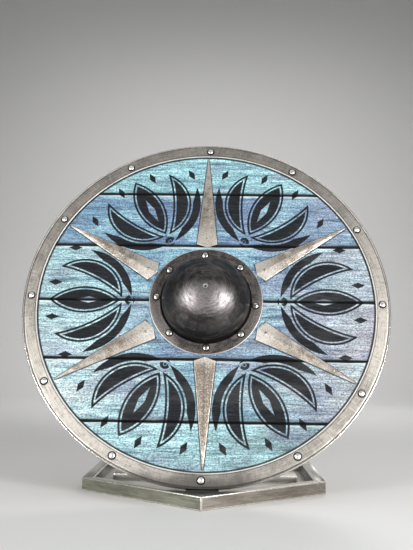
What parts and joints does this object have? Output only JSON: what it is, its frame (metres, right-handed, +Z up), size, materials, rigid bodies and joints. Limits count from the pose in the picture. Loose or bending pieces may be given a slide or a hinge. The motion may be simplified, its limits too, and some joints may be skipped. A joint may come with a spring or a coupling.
{
  "type": "wooden round shield",
  "caption": "Round shield of painted planks with a steel rim, domed boss and a star of steel spikes, leaning on a hexagonal steel stand.",
  "frame": {"origin": "on the surface that the stand rests on, in the middle of its hexagonal frame", "axes": "+Z up; the painted front of the shield faces -Y and leans back towards +Y; +X to the right of someone who faces the front"},
  "size_m": [0.61, 0.5498, 0.6008],
  "materials": {
    "painted_wood": "brushed blue, cyan and lavender stain with black stencilled ornament, semi-gloss",
    "bare_wood": "oiled brown hardwood",
    "rim_steel": "brushed and darkened steel with a bright edge",
    "dark_steel": "spun gunmetal steel",
    "rivet_steel": "bright polished steel",
    "spike_steel": "warm grey pitted steel with bright edges",
    "stand_steel": "brushed steel with clear lacquer",
    "black_rubber": "matt black rubber"
  },
  "bodies": {
    "root": {"plank_1": "painted_wood", "plank_2": "painted_wood", "plank_3": "painted_wood", "plank_4": "painted_wood", "plank_5": "painted_wood", "plank_6": "painted_wood", "rim": "rim_steel", "boss": "dark_steel", "grip": "bare_wood", "rim_rivet_01": "rivet_steel", "rim_rivet_02": "rivet_steel", "rim_rivet_03": "rivet_steel", "rim_rivet_04": "rivet_steel", "rim_rivet_05": "rivet_steel", "rim_rivet_06": "rivet_steel", "rim_rivet_07": "rivet_steel", "rim_rivet_08": "rivet_steel", "rim_rivet_09": "rivet_steel", "rim_rivet_10": "rivet_steel", "rim_rivet_11": "rivet_steel", "rim_rivet_12": "rivet_steel", "boss_rivet_1": "rivet_steel", "boss_rivet_2": "rivet_steel", "boss_rivet_3": "rivet_steel", "boss_rivet_4": "rivet_steel", "boss_rivet_5": "rivet_steel", "boss_rivet_6": "rivet_steel", "boss_rivet_7": "rivet_steel", "boss_rivet_8": "rivet_steel", "spike_1": "spike_steel", "spike_2": "spike_steel", "spike_3": "spike_steel", "spike_4": "spike_steel", "spike_5": "spike_steel", "spike_6": "spike_steel", "spike_nail_inner_1": "rivet_steel", "spike_nail_inner_2": "rivet_steel", "spike_nail_inner_3": "rivet_steel", "spike_nail_inner_4": "rivet_steel", "spike_nail_inner_5": "rivet_steel", "spike_nail_inner_6": "rivet_steel", "spike_nail_outer_1": "rivet_steel", "spike_nail_outer_2": "rivet_steel", "spike_nail_outer_3": "rivet_steel", "spike_nail_outer_4": "rivet_steel", "spike_nail_outer_5": "rivet_steel", "spike_nail_outer_6": "rivet_steel", "base_bar_front_right": "stand_steel", "base_bar_side_right": "stand_steel", "base_bar_back_right": "stand_steel", "base_bar_back_left": "stand_steel", "base_bar_side_left": "stand_steel", "base_bar_front_left": "stand_steel", "foot_plate": "stand_steel", "spine_front": "stand_steel", "spine_back": "stand_steel", "rim_seat": "black_rubber", "prop": "stand_steel", "grip_rest": "stand_steel"}
  },
  "joints": []
}
